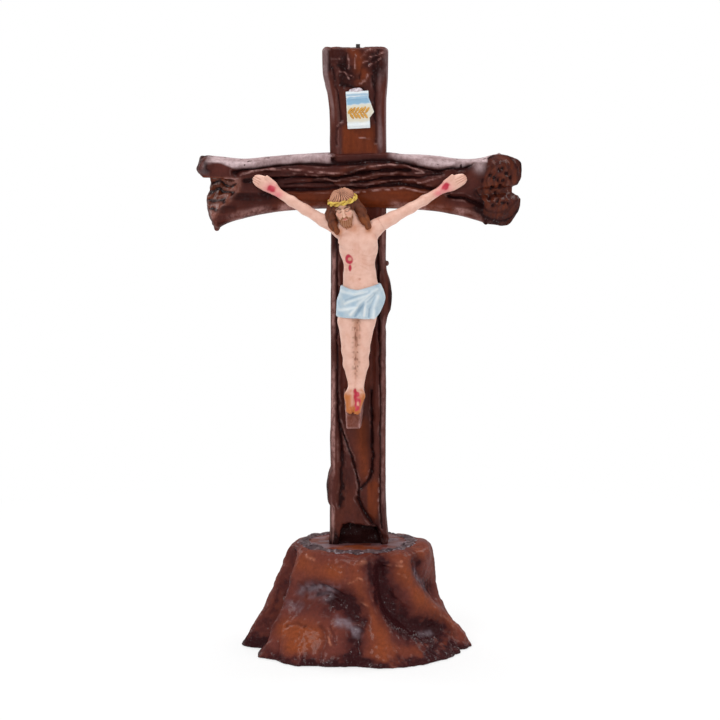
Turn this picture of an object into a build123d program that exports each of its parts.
from build123d import *
from functools import cache
from math import cos, exp, hypot, pi, radians, sin
import os

# A standing crucifix: a log cross tenoned into a tree stump, with a cast and painted figure pinned to it.
# Sizes are in millimetres. X runs to the viewer's right, Y away from the viewer and Z up.
# The origin is on the floor, under the middle of the upright post.

# Fits
GLUE_GAP = 0.05  # room for glue round every pin, peg and tenon
CUT_MARGIN = 1.0  # how far a cutting tool runs past the face that it opens

# Stump
STUMP_HEIGHT = 35.0
STUMP_FOOT_WIDTH = 69.4  # mean width at the floor, half way between root and hollow
STUMP_FOOT_DEPTH = 67.6
STUMP_FOOT_SHIFT = -0.8  # every shift is to the viewer's right, so this one is to the left
STUMP_WAIST_Z = 16.0  # height where the roots have run into the trunk
STUMP_WAIST_WIDTH = 53.6
STUMP_WAIST_DEPTH = 52.4
STUMP_WAIST_SHIFT = -1.3
STUMP_TOP_SHIFT = 1.0
STUMP_FLOOR = 10.0  # solid left under the tenon
STUMP_RIM = 4.2  # between the recess and the outside of the trunk
STUMP_EDGE = 3.0  # the rim is drawn in over this height
STUMP_EDGE_DRAW = 1.0  # by this much on each side
STUMP_POINTS = 64  # points of each outline of the stump
STUMP_STEPS = 3  # outlines from one named height to the next
ROOT_SWELL_FOOT = 2.9  # a root stands out of the mean outline by this much at the floor
ROOT_SWELL_TOP = 0.7
ROOT_BREADTH = 4.6
HOLLOW_SINK = 2.7  # a hollow lies back from the mean outline by this much
HOLLOW_BREADTH = 4.2
# Each root and hollow runs from its upper to its lower end. An end is a direction in degrees from the
# front, with the viewer's right above 0, and a share of the stump's height. The last number weighs it.
ROOTS = (
    (-86, 1.0, -93, 0.0, 1.15),
    (-58, 1.0, -55, 0.65, 0.9),
    (-55, 0.65, -71, 0.0, 0.9),
    (-42, 0.3, -36, 0.0, 1.0),
    (1, 0.9, 5, 0.65, 0.85),
    (5, 0.65, 18, 0.0, 0.9),
    (40, 0.9, 80, 0.4, 1.0),
    (80, 0.4, 70, 0.0, 1.0),
    (84, 0.17, 81, 0.0, 1.5),
    (94, 0.95, 102, 0.0, 0.8),
    (138, 0.92, 142, 0.0, 0.9),
    (178, 0.95, 180, 0.0, 0.9),
    (-140, 0.95, -141, 0.0, 0.9),
)
HOLLOWS = (
    (-76, 0.88, -66, 0.5, 1.0),
    (-66, 0.5, -72, 0.0, 1.0),
    (-46, 0.58, -12, 0.6, 0.95),
    (-12, 0.6, 4, 0.45, 0.95),
    (4, 0.42, -1, 0.0, 0.6),
    (19, 0.85, 29, 0.5, 1.25),
    (29, 0.5, 62, 0.2, 1.25),
    (58, 0.9, 80, 0.57, 0.8),
    (116, 0.8, 122, 0.0, 0.95),
    (160, 0.7, 161, 0.0, 1.0),
    (-160, 0.8, -160, 0.0, 0.95),
    (-116, 0.75, -118, 0.0, 0.95),
)

# Disc and filler round the foot of the post
DISC_DIAMETER = 35.0
DISC_THICKNESS = 3.0
BEAD_WIDTH = 1.8
BEAD_RISE = 0.5

# Upright post
POST_LENGTH = 167.0  # from its shoulder to its top
POST_WIDTH = 18.0
POST_DEPTH = 14.0
POST_EDGE = 3.0
POST_FOOT_WIDTH = 19.4
POST_FOOT_LENGTH = 10.0
POST_HEAD_WIDTH = 21.0
POST_HEAD_LENGTH = 20.0
POST_CROWN_LENGTH = 4.0
POST_CROWN_WIDTH = 20.2
TENON_WIDTH = 11.0
TENON_DEPTH = 9.0
RIGHT_BURL_DROP = 36.5  # below the beam's axis
RIGHT_BURL_HEIGHT = 17.0
RIGHT_BURL_SWELL = 1.8
LEFT_BURL_RISE = 21.0  # above the post's shoulder
LEFT_BURL_HEIGHT = 14.0
LEFT_BURL_SWELL = 1.3
BURL_DEPTH = 9.0
HOLLOW_WIDTH = 12.6  # the hollow at the front of the post's foot
HOLLOW_HEIGHT = 6.2
HOLLOW_DEPTH = 2.6
HOLLOW_SHIFT = 1.2  # to the viewer's right
POST_GROOVE_DEPTH = 1.1
GROOVE_WIDTH = 1.6
# Routes of the grooves, in shares of the face's half width and of the post's length above its shoulder
POST_FRONT_GROOVES = (
    ((-0.73, 0.26), (-0.48, 0.23), (-0.22, 0.18), (0.03, 0.14), (0.11, 0.1), (0.44, 0.07), (0.8, 0.04)),
    ((0.58, 0.19), (0.46, 0.165), (0.1, 0.135)),
    ((0.5, 0.33), (0.51, 0.26), (0.53, 0.2), (0.56, 0.165)),
    ((0.73, 0.62), (0.75, 0.5), (0.82, 0.36), (0.86, 0.3), (0.86, 0.19), (0.84, 0.11), (0.9, 0.05)),
    ((-0.82, 0.64), (-0.78, 0.5), (-0.78, 0.3), (-0.62, 0.2), (-0.59, 0.13), (-0.67, 0.09)),
    ((-0.95, 0.96), (-0.73, 0.9), (-0.64, 0.86), (-0.78, 0.82)),
    ((0.69, 0.95), (0.65, 0.9), (0.69, 0.82)),
)
POST_SIDE_GROOVES = (
    ((-0.4, 0.64), (-0.56, 0.5), (-0.38, 0.34), (-0.52, 0.2), (-0.42, 0.09)),
    ((0.2, 0.66), (0.3, 0.54), (0.12, 0.4), (0.28, 0.22), (0.16, 0.1)),
)
POST_BACK_GROOVES = (
    ((-0.34, 0.96), (-0.46, 0.76), (-0.3, 0.52), (-0.44, 0.3), (-0.34, 0.07)),
    ((0.1, 0.93), (0.24, 0.7), (0.06, 0.46), (0.2, 0.24), (0.1, 0.09)),
    ((0.56, 0.95), (0.48, 0.66), (0.6, 0.4), (0.5, 0.1)),
)

# Crossbeam
BEAM_DROP = 43.1  # from the top of the post down to the beam's axis
BEAM_LEFT = 53.5
BEAM_RIGHT = 55.0
BEAM_DEPTH = 16.0
BEAM_PROUD = 2.5  # how far the beam stands in front of the post
BEAM_HEIGHT = 18.3
BEAM_EDGE = 4.5
BEAM_FLARE = 19.0  # length of each end that flares
BEAM_NECK_HEIGHT = 18.8
BEAM_NECK_SAG = 2.4
BEAM_END_HEIGHT = 25.0
BEAM_END_SAG = 4.2
LAP_DEPTH = 7.0  # depth of the housing cut into the front of the post
BEVEL_LEFT = 2.0  # length of each slanted end cut along the beam
BEVEL_RIGHT = 13.0
SCOOP_BACK = 4.5  # from the left end to the back edge of the scoop in it
SCOOP_BEVEL = 9.3
SPLIT_DEPTH = 4.6  # how far the split of an end reaches back from its slanted cut
# Profile of each cut: a share of the half height up from the end's middle, and a share of the split's depth
LEFT_SPLIT = (
    (-1.2, 2.6),
    (-0.97, 1.4),
    (-0.76, 1.04),
    (-0.54, 0.85),
    (-0.23, 0.7),
    (0.09, 1.0),
    (0.3, 0.7),
    (0.46, 0.25),
    (0.62, 0.05),
    (0.8, 0.2),
    (1.2, 1.0),
)
SCOOP = (
    (-1.1, -2.2),
    (-0.6, -1.5),
    (-0.38, -1.07),
    (-0.14, -0.45),
    (0.1, 0.0),
    (0.3, 0.0),
    (0.4, -0.7),
    (0.46, -2.2),
)
RIGHT_SPLIT = (
    (-1.2, 2.0),
    (-0.87, 0.61),
    (-0.66, 0.34),
    (-0.23, 0.16),
    (-0.12, 0.34),
    (0.03, 0.64),
    (0.19, 0.29),
    (0.42, 0.12),
    (0.72, 0.07),
    (0.93, 0.6),
    (1.2, 1.6),
)
BARK_SINK = 0.7  # the strip of bark between the two long grooves of the front lies back by this much
BEAM_GROOVE_DEPTH = 1.9
# Routes of the grooves, in shares of the beam's length to each side and of its half height
UPPER_GROOVE = (
    (-0.75, 0.32),
    (-0.6, 0.5),
    (-0.43, 0.66),
    (-0.2, 0.57),
    (0.06, 0.8),
    (0.2, 0.79),
    (0.39, 0.43),
    (0.65, 0.56),
)
LOWER_GROOVE = (
    (-0.55, -0.36),
    (-0.41, -0.34),
    (-0.15, -0.26),
    (0.0, -0.29),
    (0.25, -0.12),
    (0.36, -0.22),
    (0.53, -0.38),
)
SHORT_GROOVES = (
    ((-0.53, 0.07), (-0.39, 0.21), (-0.25, 0.26), (-0.11, 0.15), (0.05, 0.31), (0.17, 0.35), (0.31, 0.33)),
    ((0.54, -0.57), (0.64, -0.64), (0.74, -0.92), (0.78, -1.12)),
)
BEAM_BACK_GROOVES = (
    ((-0.76, 0.42), (-0.5, 0.56), (-0.24, 0.4), (0.1, 0.54), (0.4, 0.4), (0.76, 0.5)),
    ((-0.74, -0.02), (-0.4, 0.1), (0.05, -0.06), (0.42, 0.08), (0.74, -0.04)),
    ((-0.78, -0.6), (-0.45, -0.46), (0.0, -0.58), (0.44, -0.44), (0.78, -0.58)),
)

# Steel cast into the timber, and the dowels of the lap
ROD_DIAMETER = 1.4
POST_ROD_CLEAR = 5.0  # between the post's shoulder and the rod's lower end
POST_ROD_SHOWS = 1.0  # length of rod that stands out of the top of the post
BEAM_ROD_RISE = 4.0  # above the beam's axis
BEAM_ROD_INSET = 5.0  # behind the beam's front face
BEAM_ROD_END = 15.0  # length of beam left undrilled at each end
LAP_PIN_DIAMETER = 2.0
LAP_PIN_IN_BEAM = 4.5
LAP_PIN_IN_POST = 4.5
LAP_PIN_SPREAD = 10.0
LAP_PIN_DROP = 3.0  # below the beam's axis

# Title plate
PLATE_WIDTH = 7.4
PLATE_HEIGHT = 12.2
PLATE_THICKNESS = 1.1
PLATE_TILT = 3.0
PLATE_DROP = 20.2  # from the top of the post to the plate's middle
PLATE_EAR = 1.5
PLATE_ROLL = 0.7  # radius of the rolled top and bottom edges
GLUE_DAB_WIDTH = 4.2
GLUE_DAB_HEIGHT = 2.0
GLUE_DAB_THICKNESS = 0.8

# Foot block
BLOCK_BACK_HEIGHT = 12.6
BLOCK_FRONT_HEIGHT = 5.0
BLOCK_REACH = 8.6
BLOCK_BACK_WIDTH = 7.0
BLOCK_FRONT_WIDTH = 4.8
BLOCK_SHIFT = -1.2  # to the viewer's left
BLOCK_PEG_DIAMETER = 2.0
BLOCK_PEG_IN_BLOCK = 4.0
BLOCK_PEG_IN_POST = 4.0
ANKLE_OVER_BLOCK = 1.0

# Figure, from the shoulders down
SHOULDER_DROP = 15.0  # below the beam's axis
SHOULDER_TO_CHEST = 4.5
CHEST_TO_WAIST = 8.1
WAIST_TO_HIP = 7.4
HIP_TO_SEAT = 4.5
HIP_TO_THIGH = 9.5
THIGH_TO_KNEE = 11.0
KNEE_TO_CALF = 4.0
CALF_TO_ANKLE = 7.5
BODY_GAP = 0.4  # between the beam's front plane and the figure's back
NECK_LENGTH = 4.4
NECK_WIDTH = 4.8
NECK_LEAN = 2.6  # the neck leans to the viewer's left by this much
SHOULDER_WIDTH = 12.6
SHOULDER_DEPTH = 7.4
CHEST_WIDTH = 13.8
CHEST_DEPTH = 9.0
WAIST_WIDTH = 10.6
WAIST_DEPTH = 7.4
HIP_WIDTH = 11.6
HIP_DEPTH = 8.2
SEAT_WIDTH = 10.6
SEAT_DEPTH = 7.6
LEG_ROOT_WIDTH = 5.4
LEG_ROOT_SPREAD = 5.0
THIGH_WIDTH = 6.4
THIGH_DEPTH = 7.4
THIGH_SPREAD = 6.2  # between the middles of the two thighs
KNEE_WIDTH = 4.7
KNEE_SPREAD = 4.1
KNEE_SHIFT = -0.8  # to the viewer's left
KNEE_FORWARD = 1.6  # in front of the ankles
CALF_WIDTH = 4.5
CALF_SPREAD = 3.8
ANKLE_WIDTH = 3.3
ANKLE_SPREAD = 2.0
FOOT_WIDTH = 5.4
FOOT_DEPTH = 3.4
TOE_WIDTH = 4.4
TOE_DEPTH = 2.0

# Arms: each length runs outwards and each rise upwards from the joint before
UPPER_ARM_LENGTH = 10.8
UPPER_ARM_RISE = 6.4
FOREARM_LENGTH = 10.5
FOREARM_RISE = 6.3
PALM_LENGTH = 4.0
PALM_RISE = 1.9
FINGER_LENGTH = 3.9
FINGER_RISE = 1.6
SHOULDER_JOINT_WIDTH = 5.0
UPPER_ARM_WIDTH = 4.4
ELBOW_WIDTH = 3.7
FOREARM_WIDTH = 3.5
WRIST_WIDTH = 2.9
HAND_WIDTH = 4.9
FINGER_WIDTH = 3.0
HAND_THICKNESS = 2.4
FINGER_THICKNESS = 1.5

# Head, hair and crown
HEAD_WIDTH = 7.8
HEAD_DEPTH = 9.0
HEAD_HEIGHT = 11.0
NECK_IN_HEAD = 2.3
HEAD_SHIFT = 2.0  # beyond the lean of the neck, to the viewer's left
HEAD_FORWARD = 2.2  # in front of the chest's middle
HEAD_ROLL = 15.0
HEAD_NOD = 22.0
NOSE_WIDTH = 1.4
NOSE_LENGTH = 2.8
BEARD_WIDTH = 5.0
BEARD_LENGTH = 4.6
HAIR_THICKNESS = 0.9  # of the cap of hair on the skull
LOCK_SPREAD = 8.0  # between the two locks
LOCK_WIDTH = 3.0
LOCK_LENGTH = 10.0
CROWN_RISE = 1.9  # above the head's middle
CROWN_THICKNESS = 1.5

# Loincloth
CLOTH_RISE = 1.0  # above the hips
CLOTH_LENGTH = 11.0
CLOTH_TOP_WIDTH = 14.0
CLOTH_TOP_DEPTH = 10.2
CLOTH_BOTTOM_WIDTH = 15.6
CLOTH_BOTTOM_DEPTH = 11.0
FOLD_COUNT = 8
FOLD_POINTS = 6  # outline points for each fold
FOLD_SWELL = 0.5
FOLD_SLANT = 24.0  # degrees by which the folds turn on their way down
KNOT_WIDTH = 2.6
KNOT_DEPTH = 4.0
KNOT_HEIGHT = 6.0

# Pins and pegs of the figure
NECK_PEG_DIAMETER = 1.6
NECK_PEG_IN_NECK = 3.0
NECK_PEG_IN_HEAD = 2.4
SHOULDER_PEG_DIAMETER = 1.6
SHOULDER_PEG_IN_BODY = 3.0
SHOULDER_PEG_IN_ARM = 3.6
HAND_PIN_DIAMETER = 1.0
HAND_PIN_IN_BEAM = 4.0
HAND_PIN_IN_HAND = 1.4
BACK_PEG_DIAMETER = 2.4
BACK_PEG_IN_POST = 4.0
BACK_PEG_IN_BODY = 4.0
FOOT_PIN_DIAMETER = 1.0
FOOT_PIN_IN_FOOT = 1.6
FOOT_PIN_IN_BLOCK = 3.0

# Places that follow from the sizes
recess_floor = STUMP_HEIGHT - DISC_THICKNESS
recess_radius = DISC_DIAMETER / 2 + BEAD_WIDTH
stump_top_width = 2 * (recess_radius + STUMP_RIM)
tenon_length = recess_floor - STUMP_FLOOR
post_top = recess_floor + POST_LENGTH
post_front = -POST_DEPTH / 2
lap_y = post_front + LAP_DEPTH
post_rod_y = (lap_y + POST_DEPTH / 2) / 2
beam_z = post_top - BEAM_DROP
beam_front = post_front - BEAM_PROUD
beam_back = beam_front + BEAM_DEPTH
body_back = beam_front - BODY_GAP
chest_y = body_back - CHEST_DEPTH / 2
hip_y = body_back - HIP_DEPTH / 2
leg_y = body_back - CALF_WIDTH / 2
hand_y = beam_front - HAND_THICKNESS / 2 - GLUE_GAP
shoulder_z = beam_z - SHOULDER_DROP
chest_z = shoulder_z - SHOULDER_TO_CHEST
waist_z = chest_z - CHEST_TO_WAIST
hip_z = waist_z - WAIST_TO_HIP
thigh_z = hip_z - HIP_TO_THIGH
knee_z = thigh_z - THIGH_TO_KNEE
calf_z = knee_z - KNEE_TO_CALF
ankle_z = calf_z - CALF_TO_ANKLE
block_bottom = ankle_z - ANKLE_OVER_BLOCK - BLOCK_BACK_HEIGHT
neck_base = Vector(0, chest_y, shoulder_z)
neck_top = Vector(-NECK_LEAN, chest_y - HEAD_FORWARD / 2, shoulder_z + NECK_LENGTH)
head_rise = NECK_LENGTH + HEAD_HEIGHT / 2 - NECK_IN_HEAD
head_middle = Vector(-NECK_LEAN - HEAD_SHIFT, chest_y - HEAD_FORWARD, shoulder_z + head_rise)


def rod_between(start, end, diameter):
    """A round rod from one point to another."""
    along = end - start
    place = Plane(origin=start, z_dir=along)
    return extrude(place * Circle(diameter / 2), along.length)


def limb(stations):
    """A tapering limb through (point, width, depth) stations, as seen from the front and from the side."""
    points = [station[0] for station in stations]
    sections = []
    for index, (point, width, depth) in enumerate(stations):
        before = points[max(index - 1, 0)]
        after = points[min(index + 1, len(points) - 1)]
        along = (after - before).normalized()
        across = Vector(0, 1, 0).cross(along)
        place = Plane(origin=point, x_dir=across, z_dir=along)
        sections.append(place * Ellipse(width / 2, depth / 2))
    return loft(sections)


def ellipsoid(width, depth, height):
    """An egg shape round the origin."""
    return scale(Sphere(0.5), by=(width, depth, height))


def waved_outline(centre, width, depth, count, swell, turn):
    """A closed oval outline with a number of waves. Turn is the direction of the first crest in degrees."""
    points = []
    for index in range(count * FOLD_POINTS):
        angle = 2 * pi * index / (count * FOLD_POINTS)
        wave = swell * cos(count * (angle - radians(turn)))
        points.append(centre + Vector((width / 2 + wave) * cos(angle), (depth / 2 + wave) * sin(angle), 0))
    return make_face(Spline(*points, periodic=True))


def groove(place, route, depth):
    """A channel along a route on a plane, cut down from it and drawn to a point at both ends."""
    upper = []
    lower = []
    for before, point, after in zip(route, route[1:], route[2:]):
        along = (after - before).normalized()
        across = Vector(-along.Y, along.X) * (GROOVE_WIDTH / 2)
        upper.append(point + across)
        lower.append(point - across)
    outline = Spline(route[0], *upper, route[-1]) + Spline(route[0], *lower, route[-1])
    return extrude(place.offset(CUT_MARGIN) * make_face(outline), -depth - CUT_MARGIN)


# Stump, disc and filler


def mark_strength(marks, breadth, direction, z):
    """How strongly the nearest root or hollow shows at one spot of the stump, from 0 to its own weight."""
    skin = STUMP_WAIST_WIDTH / 2  # radius at which directions are laid out flat
    strength = 0
    for upper_turn, upper_share, lower_turn, lower_share, weight in marks:
        along = Vector(radians(lower_turn - upper_turn) * skin, (lower_share - upper_share) * STUMP_HEIGHT)
        turn = (direction - upper_turn + 180) % 360 - 180
        spot = Vector(radians(turn) * skin, z - upper_share * STUMP_HEIGHT)
        share = min(max(spot.dot(along) / along.dot(along), 0), 1)
        gap = (spot - along * share).length
        strength = max(strength, weight * exp(-((gap / breadth) ** 2)))
    return strength


def stump_outline(shift, z, width, depth):
    """The stump's outline at one height: an oval that swells at the roots and sinks at the hollows."""
    swell = ROOT_SWELL_FOOT + (ROOT_SWELL_TOP - ROOT_SWELL_FOOT) * z / STUMP_HEIGHT
    points = []
    for index in range(STUMP_POINTS):
        direction = 360 * index / STUMP_POINTS
        right = sin(radians(direction))
        front = cos(radians(direction))
        reach = 1 / hypot(2 * right / width, 2 * front / depth)
        reach = reach + swell * mark_strength(ROOTS, ROOT_BREADTH, direction, z)
        reach = reach - HOLLOW_SINK * mark_strength(HOLLOWS, HOLLOW_BREADTH, direction, z)
        points.append(Vector(shift + reach * right, -reach * front, z))
    return make_face(Spline(*points, periodic=True))


def stump_levels():
    """Shift, height, width and depth of the mean outline, from the floor to the rim."""
    rim_width = stump_top_width - 2 * STUMP_EDGE_DRAW
    named = [
        (STUMP_FOOT_SHIFT, 0, STUMP_FOOT_WIDTH, STUMP_FOOT_DEPTH),
        (STUMP_WAIST_SHIFT, STUMP_WAIST_Z, STUMP_WAIST_WIDTH, STUMP_WAIST_DEPTH),
        (STUMP_TOP_SHIFT, STUMP_HEIGHT - STUMP_EDGE, stump_top_width, stump_top_width),
    ]
    levels = []
    for lower, upper in zip(named, named[1:]):
        for step in range(STUMP_STEPS):
            share = step / STUMP_STEPS
            levels.append([low + (high - low) * share for low, high in zip(lower, upper)])
    return [*levels, named[-1], (STUMP_TOP_SHIFT, STUMP_HEIGHT, rim_width, rim_width)]


def make_stump():
    """The cast stump, with the recess for the disc and the mortise for the tenon."""
    trunk = loft([stump_outline(*level) for level in stump_levels()])
    recess_place = Plane.XY.offset(recess_floor)
    recess = extrude(recess_place * Circle(recess_radius), DISC_THICKNESS + CUT_MARGIN)
    mortise_size = Rectangle(TENON_WIDTH + 2 * GLUE_GAP, TENON_DEPTH + 2 * GLUE_GAP)
    mortise = extrude(recess_place * mortise_size, -tenon_length - GLUE_GAP)
    return trunk - recess - mortise


def make_disc():
    """The round face of the stump's cut, which closes the socket round the post."""
    place = Plane.XY.offset(recess_floor)
    return extrude(place * Circle(DISC_DIAMETER / 2), DISC_THICKNESS) - post_blank()


def make_filler():
    """The bead of filler pressed into the gap between the disc and the stump."""
    inner = DISC_DIAMETER / 2
    walls = Polyline(
        (inner, 0, STUMP_HEIGHT),
        (inner, 0, recess_floor),
        (recess_radius, 0, recess_floor),
        (recess_radius, 0, STUMP_HEIGHT),
    )
    crown = ThreePointArc(
        (recess_radius, 0, STUMP_HEIGHT),
        (inner + BEAD_WIDTH / 2, 0, STUMP_HEIGHT + BEAD_RISE),
        (inner, 0, STUMP_HEIGHT),
    )
    return revolve(make_face(walls + crown), Axis.Z)


# Timber


@cache
def post_blank():
    """The upright before any joint is cut, without its tenon."""
    stations = [
        (recess_floor, POST_FOOT_WIDTH),
        (recess_floor + POST_FOOT_LENGTH, POST_WIDTH),
        (post_top - POST_HEAD_LENGTH, POST_WIDTH),
        (post_top - POST_CROWN_LENGTH, POST_HEAD_WIDTH),
        (post_top, POST_CROWN_WIDTH),
    ]
    sections = []
    for z, width in stations:
        sections.append(Plane.XY.offset(z) * RectangleRounded(width, POST_DEPTH, POST_EDGE))
    return loft(sections, ruled=True)


@cache
def beam_blank():
    """The crossbeam with the housing for the post: thin in the middle, flared and split at both ends."""
    stations = [
        (-BEAM_LEFT, BEAM_END_HEIGHT, BEAM_END_SAG),
        (-BEAM_LEFT + BEAM_FLARE, BEAM_NECK_HEIGHT, BEAM_NECK_SAG),
        (0, BEAM_HEIGHT, 0),
        (BEAM_RIGHT - BEAM_FLARE, BEAM_NECK_HEIGHT, BEAM_NECK_SAG),
        (BEAM_RIGHT, BEAM_END_HEIGHT, BEAM_END_SAG),
    ]
    sections = []
    for x, height, sag in stations:
        centre = Vector(x, beam_front + BEAM_DEPTH / 2, beam_z - sag)
        place = Plane(origin=centre, x_dir=(0, 1, 0), z_dir=(1, 0, 0))
        sections.append(place * RectangleRounded(BEAM_DEPTH, height, BEAM_EDGE))
    left_cut = end_cut(-1, BEAM_LEFT, BEVEL_LEFT, LEFT_SPLIT)
    left_scoop = end_cut(-1, BEAM_LEFT - SCOOP_BACK, SCOOP_BEVEL, SCOOP)
    right_cut = end_cut(1, BEAM_RIGHT, BEVEL_RIGHT, RIGHT_SPLIT)
    log = loft(sections) - [left_cut, left_scoop, right_cut, *beam_grooves()]
    back_size = 2 * POST_LENGTH
    behind_lap = Pos(0, lap_y + back_size / 2, beam_z) * Box(back_size, back_size, back_size)
    return log - (post_blank() & behind_lap)


def end_cut(side, length, bevel, profile):
    """A slanted cut of one beam end, by its profile. Side is -1 on the left and 1 on the right."""
    slant = Vector(side * bevel, BEAM_DEPTH)
    outward = Vector(side * BEAM_DEPTH, -bevel)
    end_middle = Vector(side * (length - bevel), beam_front, beam_z - BEAM_END_SAG)
    place = Plane(origin=end_middle, x_dir=outward, z_dir=slant * -side)
    half = BEAM_END_HEIGHT / 2
    points = [Vector(-share * SPLIT_DEPTH, up * half) for up, share in profile]
    past = slant.length
    outside = Polyline(points[-1], (past, points[-1].Y), (past, points[0].Y), points[0])
    return extrude(place * make_face(Spline(*points) + outside), 2 * past, both=True)


def beam_route(shares):
    """A route over a beam face from shares of its length to each side and of its half height."""
    route = []
    for out, up in shares:
        reach = BEAM_LEFT if out < 0 else BEAM_RIGHT
        route.append(Vector(out * reach, up * BEAM_HEIGHT / 2))
    return route


def beam_grooves():
    """The long grooves of the beam's front and back, and the sunk strip of bark between two of them."""
    front = Plane(origin=(0, beam_front, beam_z), x_dir=(1, 0, 0), z_dir=(0, -1, 0))
    back = Plane(origin=(0, beam_back, beam_z), x_dir=(-1, 0, 0), z_dir=(0, 1, 0))
    upper = beam_route(UPPER_GROOVE)
    lower = beam_route(LOWER_GROOVE)
    cuts = [groove(front, upper, BEAM_GROOVE_DEPTH), groove(front, lower, BEAM_GROOVE_DEPTH)]
    ends = Line(upper[1], lower[0]) + Line(upper[-2], lower[-1])
    strip = make_face(Spline(*upper[1:-1]) + Spline(*lower) + ends)
    cuts.append(extrude(front.offset(CUT_MARGIN) * strip, -BARK_SINK - CUT_MARGIN))
    for shares in SHORT_GROOVES:
        cuts.append(groove(front, beam_route(shares), BEAM_GROOVE_DEPTH))
    for shares in BEAM_BACK_GROOVES:
        cuts.append(groove(back, beam_route(shares), BEAM_GROOVE_DEPTH / 2))
    return cuts


def post_grooves():
    """The long grooves of the post's front, sides and back."""
    foot = Vector(0, 0, recess_floor)
    front = Plane(origin=foot + Vector(0, post_front, 0), x_dir=(1, 0, 0), z_dir=(0, -1, 0))
    back = Plane(origin=foot - Vector(0, post_front, 0), x_dir=(-1, 0, 0), z_dir=(0, 1, 0))
    faces = [(front, POST_WIDTH, POST_FRONT_GROOVES), (back, POST_WIDTH, POST_BACK_GROOVES)]
    for side in (-1, 1):
        edge = foot + Vector(side * POST_WIDTH / 2, 0, 0)
        flank = Plane(origin=edge, x_dir=(0, side, 0), z_dir=(side, 0, 0))
        faces.append((flank, POST_DEPTH, POST_SIDE_GROOVES))
    cuts = []
    for place, width, routes in faces:
        for shares in routes:
            route = [Vector(out * width / 2, up * POST_LENGTH) for out, up in shares]
            cuts.append(groove(place, route, POST_GROOVE_DEPTH))
    return cuts


def make_post(drilling):
    """The upright with its tenon, burls and foot hollow, housed at the front for the crossbeam."""
    tenon_place = Plane.XY.offset(recess_floor)
    tenon = extrude(tenon_place * Rectangle(TENON_WIDTH, TENON_DEPTH), -tenon_length)
    right_burl = ellipsoid(2 * RIGHT_BURL_SWELL, BURL_DEPTH, RIGHT_BURL_HEIGHT)
    left_burl = ellipsoid(2 * LEFT_BURL_SWELL, BURL_DEPTH, LEFT_BURL_HEIGHT)
    right_burl_at = Pos(POST_WIDTH / 2, 0, beam_z - RIGHT_BURL_DROP)
    left_burl_at = Pos(-POST_WIDTH / 2, 0, recess_floor + LEFT_BURL_RISE)
    log = post_blank() - post_grooves() + tenon
    log = log + right_burl_at * right_burl + left_burl_at * left_burl
    hollow_at = Pos(HOLLOW_SHIFT, post_front, STUMP_HEIGHT + HOLLOW_HEIGHT / 2)
    hollow = hollow_at * Box(HOLLOW_WIDTH, 2 * HOLLOW_DEPTH, HOLLOW_HEIGHT)
    return log - hollow - beam_blank() - drilling


def post_rod(extra=0.0):
    """The steel rod through the length of the post."""
    start = Vector(0, post_rod_y, recess_floor + POST_ROD_CLEAR - extra)
    end = Vector(0, post_rod_y, post_top + POST_ROD_SHOWS)
    return rod_between(start, end, ROD_DIAMETER + 2 * extra)


def beam_rod(extra=0.0):
    """The steel rod through the length of the beam."""
    y = beam_front + BEAM_ROD_INSET
    z = beam_z + BEAM_ROD_RISE
    start = Vector(-BEAM_LEFT + BEAM_ROD_END - extra, y, z)
    end = Vector(BEAM_RIGHT - BEAM_ROD_END + extra, y, z)
    return rod_between(start, end, ROD_DIAMETER + 2 * extra)


def lap_pins(extra=0.0):
    """The two dowels across the lap."""
    pins = []
    for side in (-1, 1):
        middle = Vector(side * LAP_PIN_SPREAD / 2, lap_y, beam_z - LAP_PIN_DROP)
        start = middle - Vector(0, LAP_PIN_IN_BEAM + extra, 0)
        end = middle + Vector(0, LAP_PIN_IN_POST + extra, 0)
        pins.append(rod_between(start, end, LAP_PIN_DIAMETER + 2 * extra))
    return pins


# Title plate


def plate_place():
    """The plane of the title plate's back, on the front of the post."""
    tilt = radians(PLATE_TILT)
    at_plate = Vector(0, post_front, post_top - PLATE_DROP)
    return Plane(origin=at_plate, x_dir=(cos(tilt), 0, sin(tilt)), z_dir=(0, -1, 0))


@cache
def make_plate():
    """The scroll plate: a slab with rolled edges at top and bottom and an ear at one side."""
    right = PLATE_WIDTH / 2
    top = PLATE_HEIGHT / 2
    outline = Polyline(
        (-right, -top),
        (right, -top),
        (right, -top / 4),
        (right + PLATE_EAR, 0),
        (right, top / 2),
        (right, top),
        (-right, top),
        close=True,
    )
    place = plate_place()
    slab = extrude(place * make_face(outline), PLATE_THICKNESS)
    for edge in (-1, 1):
        level = edge * (top - PLATE_ROLL)
        start = place.from_local_coords(Vector(-right, level, PLATE_THICKNESS))
        end = place.from_local_coords(Vector(right, level, PLATE_THICKNESS))
        slab = slab + rod_between(start, end, 2 * PLATE_ROLL)
    return slab


def make_glue_dab():
    """The dab of glue squeezed out above the title plate."""
    place = plate_place()
    upper_edge = place.from_local_coords(Vector(0, PLATE_HEIGHT / 2, 0))
    dab = ellipsoid(GLUE_DAB_WIDTH, 2 * GLUE_DAB_THICKNESS, 2 * GLUE_DAB_HEIGHT)
    return Pos(upper_edge) * dab - post_blank() - make_plate()


# Foot block


def slope_point(share, lift):
    """A point above the block's sloping top. Share runs from 0 at the post to 1 at the front edge."""
    drop = BLOCK_BACK_HEIGHT - BLOCK_FRONT_HEIGHT
    outward = Vector(0, -drop, BLOCK_REACH).normalized()
    z = block_bottom + BLOCK_BACK_HEIGHT - drop * share
    return Vector(BLOCK_SHIFT, post_front - BLOCK_REACH * share, z) + outward * lift


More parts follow.
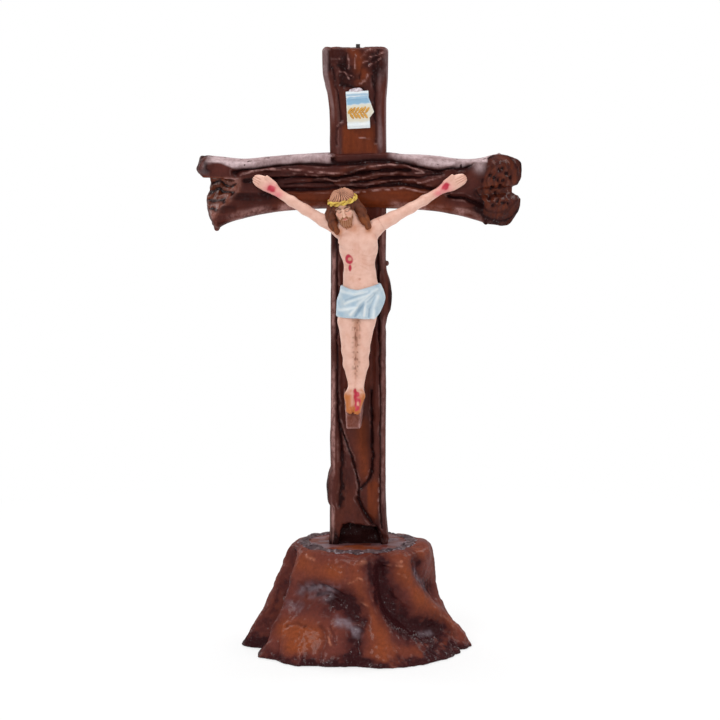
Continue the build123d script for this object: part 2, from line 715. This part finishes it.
@cache
def block_blank():
    """The wedge that carries the feet."""
    sections = []
    for y, width, height in (
        (post_front, BLOCK_BACK_WIDTH, BLOCK_BACK_HEIGHT),
        (post_front - BLOCK_REACH, BLOCK_FRONT_WIDTH, BLOCK_FRONT_HEIGHT),
    ):
        centre = Vector(BLOCK_SHIFT, y, block_bottom + height / 2)
        place = Plane(origin=centre, x_dir=(1, 0, 0), z_dir=(0, -1, 0))
        sections.append(place * Rectangle(width, height))
    return loft(sections, ruled=True)


def block_peg(extra=0.0):
    """The dowel that holds the foot block on the post."""
    seat = Vector(BLOCK_SHIFT, post_front, block_bottom + BLOCK_FRONT_HEIGHT / 2)
    start = seat - Vector(0, BLOCK_PEG_IN_BLOCK + extra, 0)
    end = seat + Vector(0, BLOCK_PEG_IN_POST + extra, 0)
    return rod_between(start, end, BLOCK_PEG_DIAMETER + 2 * extra)


# Figure


def make_torso():
    """Neck, chest, waist and hips."""
    return limb(
        [
            (neck_top, NECK_WIDTH, NECK_WIDTH),
            (Vector(0, chest_y, shoulder_z), SHOULDER_WIDTH, SHOULDER_DEPTH),
            (Vector(0, chest_y, chest_z), CHEST_WIDTH, CHEST_DEPTH),
            (Vector(0, body_back - WAIST_DEPTH / 2, waist_z), WAIST_WIDTH, WAIST_DEPTH),
            (Vector(0, hip_y, hip_z), HIP_WIDTH, HIP_DEPTH),
            (Vector(0, hip_y, hip_z - HIP_TO_SEAT), SEAT_WIDTH, SEAT_DEPTH),
        ]
    )


def make_leg(side):
    """One leg from hip to ankle."""
    root_x = side * LEG_ROOT_SPREAD / 2
    thigh_x = side * THIGH_SPREAD / 2
    knee_x = side * KNEE_SPREAD / 2 + KNEE_SHIFT
    calf_x = side * CALF_SPREAD / 2 + KNEE_SHIFT
    ankle_x = side * ANKLE_SPREAD / 2 + BLOCK_SHIFT / 2
    return limb(
        [
            (Vector(root_x, hip_y, hip_z), LEG_ROOT_WIDTH, SEAT_DEPTH),
            (Vector(thigh_x, hip_y, thigh_z), THIGH_WIDTH, THIGH_DEPTH),
            (Vector(knee_x, leg_y - KNEE_FORWARD, knee_z), KNEE_WIDTH, KNEE_WIDTH),
            (Vector(calf_x, leg_y - KNEE_FORWARD / 2, calf_z), CALF_WIDTH, CALF_WIDTH),
            (Vector(ankle_x, leg_y, ankle_z), ANKLE_WIDTH, ANKLE_WIDTH),
        ]
    )


def make_feet():
    """The crossed feet, from the ankles down the slope of the block to the toes."""
    ankles = Vector(BLOCK_SHIFT / 2, leg_y, ankle_z)
    return limb(
        [
            (ankles, ANKLE_WIDTH + ANKLE_SPREAD, ANKLE_WIDTH),
            (slope_point(0.5, FOOT_DEPTH / 2), FOOT_WIDTH, FOOT_DEPTH),
            (slope_point(1, TOE_DEPTH / 2), TOE_WIDTH, TOE_DEPTH),
        ]
    )


@cache
def body_blank():
    """The figure from neck to toes in one casting, cut to the slope of the foot block."""
    return make_torso() + make_leg(-1) + make_leg(1) + make_feet() - block_blank()


def arm_points(side):
    """Shoulder, elbow, wrist, palm and fingertips of one arm."""
    reach = UPPER_ARM_LENGTH + FOREARM_LENGTH + PALM_LENGTH
    steps = (
        (0, 0),
        (UPPER_ARM_LENGTH, UPPER_ARM_RISE),
        (FOREARM_LENGTH, FOREARM_RISE),
        (PALM_LENGTH, PALM_RISE),
        (FINGER_LENGTH, FINGER_RISE),
    )
    points = []
    out = 0
    rise = 0
    for step_out, step_rise in steps:
        out = out + step_out
        rise = rise + step_rise
        y = chest_y + (hand_y - chest_y) * min(out / reach, 1)
        points.append(Vector(side * (SHOULDER_WIDTH / 2 + out), y, shoulder_z + rise))
    return points


def arm_blank(side):
    """One arm with its open hand laid against the beam."""
    shoulder, elbow, wrist, palm, tips = arm_points(side)
    return limb(
        [
            (shoulder, SHOULDER_JOINT_WIDTH, SHOULDER_JOINT_WIDTH),
            ((shoulder + elbow) / 2, UPPER_ARM_WIDTH, UPPER_ARM_WIDTH),
            (elbow, ELBOW_WIDTH, ELBOW_WIDTH),
            ((elbow + wrist) / 2, FOREARM_WIDTH, FOREARM_WIDTH),
            (wrist, WRIST_WIDTH, HAND_THICKNESS),
            (palm, HAND_WIDTH, HAND_THICKNESS),
            (tips, FINGER_WIDTH, FINGER_THICKNESS),
        ]
    )


def head_place():
    """The head's middle, rolled to the side and nodding forward."""
    return Location(head_middle) * Rot(0, -HEAD_ROLL, 0) * Rot(HEAD_NOD, 0, 0)


@cache
def head_blank():
    """Skull, nose, beard and long hair in one casting."""
    cap = ellipsoid(HEAD_WIDTH + HAIR_THICKNESS, HEAD_DEPTH + HAIR_THICKNESS, HEAD_HEIGHT + HAIR_THICKNESS)
    nose = Pos(0, -HEAD_DEPTH / 2, -NOSE_LENGTH / 2) * ellipsoid(NOSE_WIDTH, NOSE_WIDTH, NOSE_LENGTH)
    beard_at = Pos(0, -HEAD_DEPTH / 4, -HEAD_HEIGHT / 2)
    head = ellipsoid(HEAD_WIDTH, HEAD_DEPTH, HEAD_HEIGHT)
    head = head + Pos(0, HAIR_THICKNESS, HAIR_THICKNESS) * cap
    head = head + nose + beard_at * ellipsoid(BEARD_WIDTH, BEARD_WIDTH, BEARD_LENGTH)
    for side in (-1, 1):
        x = side * LOCK_SPREAD / 2
        lock = [
            (Vector(x - side * LOCK_WIDTH / 2, 0, LOCK_WIDTH), LOCK_WIDTH, HEAD_DEPTH / 2),
            (Vector(x, -LOCK_WIDTH / 4, -LOCK_WIDTH), LOCK_WIDTH, HEAD_DEPTH / 2),
            (Vector(x, -LOCK_WIDTH, LOCK_WIDTH - LOCK_LENGTH), LOCK_WIDTH / 2, LOCK_WIDTH / 2),
        ]
        head = head + limb(lock)
    return head_place() * head


def make_crown():
    """The gilt band round the head."""
    ring = Torus((HEAD_DEPTH + CROWN_THICKNESS) / 2, CROWN_THICKNESS / 2)
    oval = scale(ring, by=(HEAD_WIDTH / HEAD_DEPTH, 1, 1))
    return head_place() * Pos(0, 0, CROWN_RISE) * oval - head_blank()


def make_loincloth(drilling):
    """The cloth wrapped round hips and thighs in slanting folds, with its knot on one hip."""
    top_z = hip_z + CLOTH_RISE
    bottom_z = top_z - CLOTH_LENGTH
    outlines = []
    for z, width, depth, turn in (
        (top_z, CLOTH_TOP_WIDTH, CLOTH_TOP_DEPTH, 0),
        (bottom_z, CLOTH_BOTTOM_WIDTH, CLOTH_BOTTOM_DEPTH, FOLD_SLANT),
    ):
        outlines.append(waved_outline(Vector(0, hip_y, z), width, depth, FOLD_COUNT, FOLD_SWELL, turn))
    knot_at = Pos(CLOTH_TOP_WIDTH / 2, hip_y, top_z - KNOT_HEIGHT / 2)
    knot = knot_at * ellipsoid(KNOT_WIDTH, KNOT_DEPTH, KNOT_HEIGHT)
    return loft(outlines) + knot - body_blank() - drilling


def neck_peg(extra=0.0):
    """The peg between neck and head."""
    along = (head_middle - neck_base).normalized()
    start = neck_top - along * (NECK_PEG_IN_NECK + extra)
    end = neck_top + along * (NECK_PEG_IN_HEAD + extra)
    return rod_between(start, end, NECK_PEG_DIAMETER + 2 * extra)


def shoulder_pegs(extra=0.0):
    """The two pegs between arms and chest."""
    pegs = []
    for side in (-1, 1):
        shoulder, elbow = arm_points(side)[:2]
        along = (elbow - shoulder).normalized()
        start = shoulder - along * (SHOULDER_PEG_IN_BODY + extra)
        end = shoulder + along * (SHOULDER_PEG_IN_ARM + extra)
        pegs.append(rod_between(start, end, SHOULDER_PEG_DIAMETER + 2 * extra))
    return pegs


def hand_pins(extra=0.0):
    """The two pins between hands and beam."""
    pins = []
    for side in (-1, 1):
        palm = arm_points(side)[3]
        seat = Vector(palm.X, beam_front, palm.Z)
        start = seat - Vector(0, HAND_PIN_IN_HAND + extra, 0)
        end = seat + Vector(0, HAND_PIN_IN_BEAM + extra, 0)
        pins.append(rod_between(start, end, HAND_PIN_DIAMETER + 2 * extra))
    return pins


def back_peg(extra=0.0):
    """The peg between the figure's hips and the post."""
    start = Vector(0, body_back - BACK_PEG_IN_BODY - extra, hip_z)
    end = Vector(0, post_front + BACK_PEG_IN_POST + extra, hip_z)
    return rod_between(start, end, BACK_PEG_DIAMETER + 2 * extra)


def foot_pin(extra=0.0):
    """The pin through the feet into the foot block."""
    start = slope_point(0.5, FOOT_PIN_IN_FOOT + extra)
    end = slope_point(0.5, -FOOT_PIN_IN_BLOCK - extra)
    return rod_between(start, end, FOOT_PIN_DIAMETER + 2 * extra)


# Assembly


def make_pieces():
    """Every piece of the crucifix by name."""
    rod_hole = post_rod(GLUE_GAP)
    lap_holes = lap_pins(GLUE_GAP)
    hand_holes = hand_pins(GLUE_GAP)
    shoulder_holes = shoulder_pegs(GLUE_GAP)
    neck_hole = neck_peg(GLUE_GAP)
    back_hole = back_peg(GLUE_GAP)
    block_hole = block_peg(GLUE_GAP)
    foot_hole = foot_pin(GLUE_GAP)
    body = body_blank()
    right_arm = arm_blank(-1) - [body, beam_blank()]
    left_arm = arm_blank(1) - [body, beam_blank()]
    return {
        "stump_base": make_stump(),
        "stump_top_disc": make_disc(),
        "filler_bead": make_filler(),
        "upright_post": make_post([rod_hole, *lap_holes, block_hole, back_hole]),
        "crossbeam": beam_blank() - [beam_rod(GLUE_GAP), *lap_holes, *hand_holes],
        "post_rod": post_rod(),
        "beam_rod": beam_rod(),
        "lap_pins": Compound(lap_pins()),
        "title_plate": make_plate(),
        "title_glue_dab": make_glue_dab(),
        "foot_block": block_blank() - [block_hole, foot_hole],
        "foot_block_peg": block_peg(),
        "figure_body": body - [neck_hole, *shoulder_holes, back_hole, foot_hole],
        "figure_head": head_blank() - [body, right_arm, left_arm, neck_hole],
        "figure_right_arm": right_arm - [*shoulder_holes, *hand_holes],
        "figure_left_arm": left_arm - [*shoulder_holes, *hand_holes],
        "loincloth": make_loincloth([back_hole]),
        "crown_band": make_crown(),
        "neck_peg": neck_peg(),
        "shoulder_pegs": Compound(shoulder_pegs()),
        "hand_pins": Compound(hand_pins()),
        "back_peg": back_peg(),
        "foot_pin": foot_pin(),
    }


def write_pieces():
    """Writes one file for each piece."""
    os.makedirs("parts", exist_ok=True)
    for name, piece in make_pieces().items():
        export_step(piece, os.path.join("parts", name + ".step"))


write_pieces()
